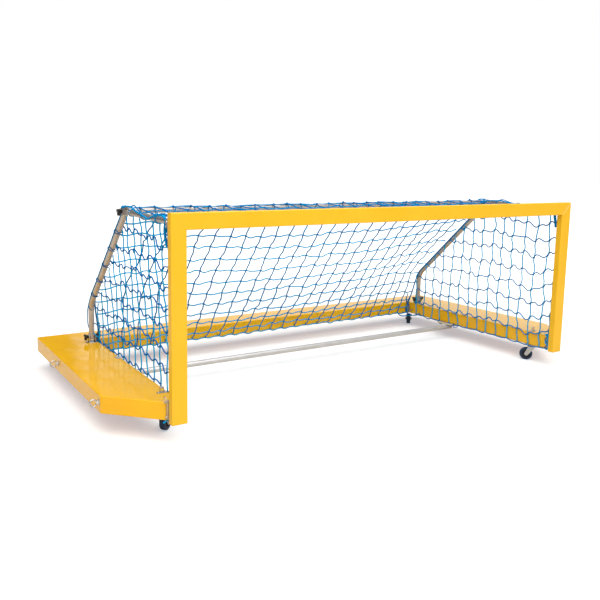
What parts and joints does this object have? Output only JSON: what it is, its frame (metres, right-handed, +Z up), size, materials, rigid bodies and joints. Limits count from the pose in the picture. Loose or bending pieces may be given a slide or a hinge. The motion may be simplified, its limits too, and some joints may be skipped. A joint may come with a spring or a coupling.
{
  "type": "floating water polo goal",
  "caption": "Floating water polo goal: rectangular tube frame on a U-shaped float, with side arms, a bent-leg rear hoop, a net and swivel casters; the frame folds back.",
  "frame": {"origin": "on the floor under the middle of the goal, between its front face and its rear", "axes": "+X to the right along the crossbar, seen from the field of play; +Y away from the field; +Z up"},
  "size_m": [3.2146, 1.517, 1.032],
  "materials": {
    "frame_paint": "satin yellow powder coat",
    "float_plastic": "glossy yellow rotomoulded polyethylene",
    "stainless": "stainless steel, satin",
    "tube_aluminium": "weathered anodised aluminium tube",
    "knob_plastic": "black moulded plastic",
    "wheel_plastic": "dark blue-grey moulded plastic",
    "tyre_rubber": "dark blue rubber tread",
    "fork_steel": "black coated pressed steel",
    "plate_plastic": "beige plastic plate",
    "net_cord": "blue knotted polyester net"
  },
  "bodies": {
    "float": {"float_shell": "float_plastic", "stabiliser_tube": "tube_aluminium", "left_stabiliser_plate": "plate_plastic", "right_stabiliser_plate": "plate_plastic", "left_clamp_plate": "stainless", "right_clamp_plate": "stainless", "left_foot_bracket": "stainless", "right_foot_bracket": "stainless", "left_leg_clevis": "stainless", "right_leg_clevis": "stainless", "left_pad_eye": "stainless", "right_pad_eye": "stainless", "left_front_ring_bolt": "stainless", "right_front_ring_bolt": "stainless", "left_rear_ring_bolt": "stainless", "right_rear_ring_bolt": "stainless", "left_side_net_front": "net_cord", "right_side_net_front": "net_cord", "left_side_net_rear": "net_cord", "right_side_net_rear": "net_cord", "rear_net": "net_cord", "front_left_caster_plate": "stainless", "front_right_caster_plate": "stainless", "rear_left_caster_plate": "stainless", "rear_right_caster_plate": "stainless"},
    "front_frame": {"left_post": "frame_paint", "right_post": "frame_paint", "crossbar": "frame_paint", "left_post_lug": "stainless", "right_post_lug": "stainless", "left_arm_bracket": "stainless", "right_arm_bracket": "stainless"},
    "left_arm": {"left_side_arm": "tube_aluminium", "roof_net": "net_cord"},
    "right_arm": {"right_side_arm": "tube_aluminium"},
    "left_corner_clamp": {"left_corner_knob": "knob_plastic"},
    "right_corner_clamp": {"right_corner_knob": "knob_plastic"},
    "rear_hoop": {"left_rear_leg": "tube_aluminium", "right_rear_leg": "tube_aluminium", "rear_top_tube": "tube_aluminium"},
    "left_pull_pin": {"left_hinge_pin": "stainless"},
    "right_pull_pin": {"right_hinge_pin": "stainless"},
    "left_stud": {"left_clevis_stud_knob": "knob_plastic"},
    "right_stud": {"right_clevis_stud_knob": "knob_plastic"},
    "left_nut": {"left_clevis_nut_knob": "knob_plastic"},
    "right_nut": {"right_clevis_nut_knob": "knob_plastic"},
    "front_left_swivel": {"front_left_caster_fork": "fork_steel"},
    "front_left_wheel": {"front_left_wheel_hub": "wheel_plastic", "front_left_tyre": "tyre_rubber"},
    "front_right_swivel": {"front_right_caster_fork": "fork_steel"},
    "front_right_wheel": {"front_right_wheel_hub": "wheel_plastic", "front_right_tyre": "tyre_rubber"},
    "rear_left_swivel": {"rear_left_caster_fork": "fork_steel"},
    "rear_left_wheel": {"rear_left_wheel_hub": "wheel_plastic", "rear_left_tyre": "tyre_rubber"},
    "rear_right_swivel": {"rear_right_caster_fork": "fork_steel"},
    "rear_right_wheel": {"rear_right_wheel_hub": "wheel_plastic", "rear_right_tyre": "tyre_rubber"}
  },
  "joints": [
    {"name": "frame_fold", "type": "hinge", "parent": "float", "child": "front_frame", "pos_m": [0, -0.7125, 0.194], "axis": [-1, 0, 0], "range_deg": [0, 62], "deforming": ["left_side_net_front", "right_side_net_front"]},
    {"name": "left_arm_fold", "type": "hinge", "parent": "front_frame", "child": "left_arm", "pos_m": [-1.3, -0.7005, 0.989], "axis": [-1, 0, 0], "range_deg": [0, 91.3], "deforming": ["roof_net"]},
    {"name": "right_arm_fold", "type": "hinge", "parent": "front_frame", "child": "right_arm", "pos_m": [1.3, -0.7005, 0.989], "axis": [-1, 0, 0], "range_deg": [0, 91.3]},
    {"name": "hoop_fold", "type": "hinge", "parent": "float", "child": "rear_hoop", "pos_m": [0, 0.4915, 0.225], "axis": [1, 0, 0], "range_deg": [0, 10], "deforming": ["rear_net", "left_side_net_rear", "right_side_net_rear"]},
    {"name": "left_pin_pull", "type": "slide", "parent": "float", "child": "left_pull_pin", "axis": [-1, 0, 0], "range_m": [0, 0.075]},
    {"name": "right_pin_pull", "type": "slide", "parent": "float", "child": "right_pull_pin", "axis": [1, 0, 0], "range_m": [0, 0.075]},
    {"name": "left_corner_knob_turn", "type": "hinge", "parent": "left_arm", "child": "left_corner_clamp", "pos_m": [-1.3, -0.1365, 1.002], "axis": [1, 0, 0], "continuous": true},
    {"name": "left_stud_knob_turn", "type": "hinge", "parent": "float", "child": "left_stud", "pos_m": [-1.3, 0.4915, 0.225], "axis": [1, 0, 0], "continuous": true},
    {"name": "left_nut_knob_turn", "type": "hinge", "parent": "float", "child": "left_nut", "pos_m": [-1.3, 0.4915, 0.225], "axis": [1, 0, 0], "continuous": true},
    {"name": "right_corner_knob_turn", "type": "hinge", "parent": "right_arm", "child": "right_corner_clamp", "pos_m": [1.3, -0.1365, 1.002], "axis": [1, 0, 0], "continuous": true},
    {"name": "right_stud_knob_turn", "type": "hinge", "parent": "float", "child": "right_stud", "pos_m": [1.3, 0.4915, 0.225], "axis": [1, 0, 0], "continuous": true},
    {"name": "right_nut_knob_turn", "type": "hinge", "parent": "float", "child": "right_nut", "pos_m": [1.3, 0.4915, 0.225], "axis": [1, 0, 0], "continuous": true},
    {"name": "front_left_caster_swivel", "type": "hinge", "parent": "float", "child": "front_left_swivel", "pos_m": [-1.296, -0.5725, 0.09], "axis": [0, 0, 1], "continuous": true},
    {"name": "front_left_wheel_roll", "type": "hinge", "parent": "front_left_swivel", "child": "front_left_wheel", "pos_m": [-1.27016, -0.5489, 0.04], "axis": [-0.6744, 0.7384, 0], "continuous": true},
    {"name": "front_right_caster_swivel", "type": "hinge", "parent": "float", "child": "front_right_swivel", "pos_m": [1.296, -0.5725, 0.09], "axis": [0, 0, 1], "continuous": true},
    {"name": "front_right_wheel_roll", "type": "hinge", "parent": "front_right_swivel", "child": "front_right_wheel", "pos_m": [1.27461, -0.5448, 0.04], "axis": [-0.7915, -0.6112, 0], "continuous": true},
    {"name": "rear_left_caster_swivel", "type": "hinge", "parent": "float", "child": "rear_left_swivel", "pos_m": [-1.352, 0.6415, 0.09], "axis": [0, 0, 1], "continuous": true},
    {"name": "rear_left_wheel_roll", "type": "hinge", "parent": "rear_left_swivel", "child": "rear_left_wheel", "pos_m": [-1.33456, 0.61115, 0.04], "axis": [0.867, 0.4983, 0], "continuous": true},
    {"name": "rear_right_caster_swivel", "type": "hinge", "parent": "float", "child": "rear_right_swivel", "pos_m": [1.352, 0.6415, 0.09], "axis": [0, 0, 1], "continuous": true},
    {"name": "rear_right_wheel_roll", "type": "hinge", "parent": "rear_right_swivel", "child": "rear_right_wheel", "pos_m": [1.328, 0.61603, 0.04], "axis": [0.7278, -0.6858, 0], "continuous": true}
  ],
  "couplings": [
    {"joint": "left_arm_fold", "follows": "frame_fold", "ratio": 1.4725},
    {"joint": "right_arm_fold", "follows": "frame_fold", "ratio": 1.4725},
    {"joint": "hoop_fold", "follows": "frame_fold", "ratio": 0.1612}
  ]
}
